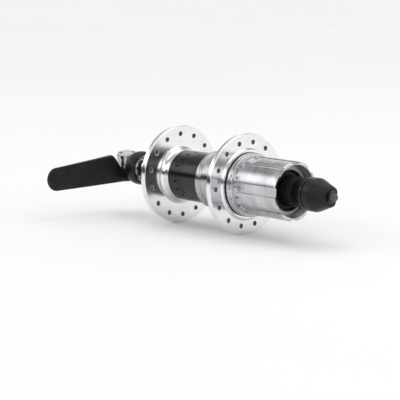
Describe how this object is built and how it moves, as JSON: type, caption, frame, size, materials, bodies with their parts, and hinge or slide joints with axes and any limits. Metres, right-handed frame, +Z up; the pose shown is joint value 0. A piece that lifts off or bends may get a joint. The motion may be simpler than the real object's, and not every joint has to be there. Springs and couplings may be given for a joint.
{
  "type": "bicycle rear hub",
  "caption": "Rear bicycle hub with two drilled flanges, a splined cassette freehub driven through pawls, and a quick-release skewer with cam lever and nut.",
  "frame": {"origin": "on the axle axis, midway between the two dropout faces", "axes": "+Y along the axle to the non-drive (lever) side, +X forward, +Z up; the wheel rolls forward about +Y"},
  "size_m": [0.0975, 0.1944, 0.0616],
  "materials": {
    "polished_alloy": "polished",
    "barrel_black": "gloss black",
    "freehub_silver": "bright turned",
    "black_alloy": "black anodised",
    "black_plastic": "satin moulded",
    "rubber_black": "matt",
    "lever_black": "satin black",
    "cam_silver": "bead-blasted and polished",
    "skewer_steel": "blackened",
    "hardened_steel": "ground and oiled",
    "bearing_steel": "ground",
    "bearing_seal": "matt",
    "cage_nylon": "matt",
    "insert_steel": "blackened"
  },
  "bodies": {
    "axle_set": {"axle": "black_alloy", "long_spacer": "black_alloy", "short_spacer": "black_alloy", "left_end_cap": "polished_alloy", "right_end_cap": "black_alloy", "left_hub_bearing_inner_ring": "bearing_steel", "right_hub_bearing_inner_ring": "bearing_steel", "inner_freehub_bearing_inner_ring": "bearing_steel", "outer_freehub_bearing_inner_ring": "bearing_steel", "cam_housing": "cam_silver", "skewer_cup": "black_plastic", "head_clamp_ring": "bearing_steel", "head_spring": "skewer_steel"},
    "hub_shell": {"hub_barrel": "barrel_black", "left_flange": "polished_alloy", "right_flange": "polished_alloy", "ratchet_ring": "hardened_steel", "left_dust_seal": "rubber_black", "left_hub_bearing_outer_ring": "bearing_steel", "left_hub_bearing_shields": "bearing_seal", "right_hub_bearing_outer_ring": "bearing_steel", "right_hub_bearing_shields": "bearing_seal"},
    "freehub": {"freehub_body": "freehub_silver", "freehub_seal": "rubber_black", "freehub_dust_cap": "black_plastic", "pawl_ring_spring": "hardened_steel", "inner_freehub_bearing_outer_ring": "bearing_steel", "inner_freehub_bearing_shields": "bearing_seal", "outer_freehub_bearing_outer_ring": "bearing_steel", "outer_freehub_bearing_shields": "bearing_seal"},
    "left_hub_balls": {"left_hub_bearing_balls": "bearing_steel", "left_hub_bearing_cage": "cage_nylon"},
    "right_hub_balls": {"right_hub_bearing_balls": "bearing_steel", "right_hub_bearing_cage": "cage_nylon"},
    "inner_freehub_balls": {"inner_freehub_bearing_balls": "bearing_steel", "inner_freehub_bearing_cage": "cage_nylon"},
    "outer_freehub_balls": {"outer_freehub_bearing_balls": "bearing_steel", "outer_freehub_bearing_cage": "cage_nylon"},
    "pawl_1": {"pawl_1": "hardened_steel"},
    "pawl_2": {"pawl_2": "hardened_steel"},
    "pawl_3": {"pawl_3": "hardened_steel"},
    "lever_and_cam": {"lever": "lever_black", "cam": "hardened_steel"},
    "rod": {"skewer_rod": "skewer_steel"},
    "nut_ring": {"nut_clamp_ring": "black_alloy", "nut_spring": "skewer_steel"},
    "nut": {"skewer_nut": "black_plastic", "skewer_nut_insert": "insert_steel"}
  },
  "joints": [
    {"name": "hub_spin", "type": "hinge", "parent": "axle_set", "child": "hub_shell", "pos_m": [0, 0, 0], "axis": [0, 1, 0], "continuous": true},
    {"name": "freehub_spin", "type": "hinge", "parent": "axle_set", "child": "freehub", "pos_m": [0, -0.046, 0], "axis": [0, 1, 0], "continuous": true},
    {"name": "left_hub_balls_roll", "type": "hinge", "parent": "axle_set", "child": "left_hub_balls", "pos_m": [0, 0.0408, 0], "axis": [0, 1, 0], "continuous": true},
    {"name": "right_hub_balls_roll", "type": "hinge", "parent": "axle_set", "child": "right_hub_balls", "pos_m": [0, -0.004, 0], "axis": [0, 1, 0], "continuous": true},
    {"name": "inner_freehub_balls_roll", "type": "hinge", "parent": "axle_set", "child": "inner_freehub_balls", "pos_m": [0, -0.033, 0], "axis": [0, 1, 0], "continuous": true},
    {"name": "outer_freehub_balls_roll", "type": "hinge", "parent": "axle_set", "child": "outer_freehub_balls", "pos_m": [0, -0.052, 0], "axis": [0, 1, 0], "continuous": true},
    {"name": "pawl_1_pivot", "type": "hinge", "parent": "freehub", "child": "pawl_1", "pos_m": [0, -0.0155, 0.0106], "axis": [0, 1, 0], "range_deg": [-12, 0], "stiffness_Nm_per_rad": 0.004, "springref_deg": -33.06},
    {"name": "pawl_2_pivot", "type": "hinge", "parent": "freehub", "child": "pawl_2", "pos_m": [0.00918, -0.0155, -0.0053], "axis": [0, 1, 0], "range_deg": [-12, 0], "stiffness_Nm_per_rad": 0.004, "springref_deg": -33.06},
    {"name": "pawl_3_pivot", "type": "hinge", "parent": "freehub", "child": "pawl_3", "pos_m": [-0.00918, -0.0155, -0.0053], "axis": [0, 1, 0], "range_deg": [-12, 0], "stiffness_Nm_per_rad": 0.004, "springref_deg": -33.06},
    {"name": "lever_swing", "type": "hinge", "parent": "axle_set", "child": "lever_and_cam", "pos_m": [0, 0.0915, 0], "axis": [0.0349, 0, -0.9994], "range_deg": [0, 180]},
    {"name": "rod_pull", "type": "slide", "parent": "axle_set", "child": "rod", "axis": [0, -1, 0], "range_m": [0, 0.001]},
    {"name": "nut_travel", "type": "slide", "parent": "rod", "child": "nut_ring", "axis": [0, -1, 0], "range_m": [0, 0.0024]},
    {"name": "nut_turn", "type": "hinge", "parent": "nut_ring", "child": "nut", "pos_m": [0, -0.085, 0], "axis": [0, -1, 0], "range_deg": [0, 1080]}
  ],
  "couplings": [
    {"joint": "left_hub_balls_roll", "follows": "hub_spin", "ratio": 0.58333},
    {"joint": "right_hub_balls_roll", "follows": "hub_spin", "ratio": 0.58333},
    {"joint": "inner_freehub_balls_roll", "follows": "freehub_spin", "ratio": 0.58333},
    {"joint": "outer_freehub_balls_roll", "follows": "freehub_spin", "ratio": 0.58333},
    {"joint": "rod_pull", "follows": "lever_swing", "m_per_rad": 0.00031831},
    {"joint": "nut_turn", "follows": "nut_travel", "rad_per_m": 7854}
  ]
}
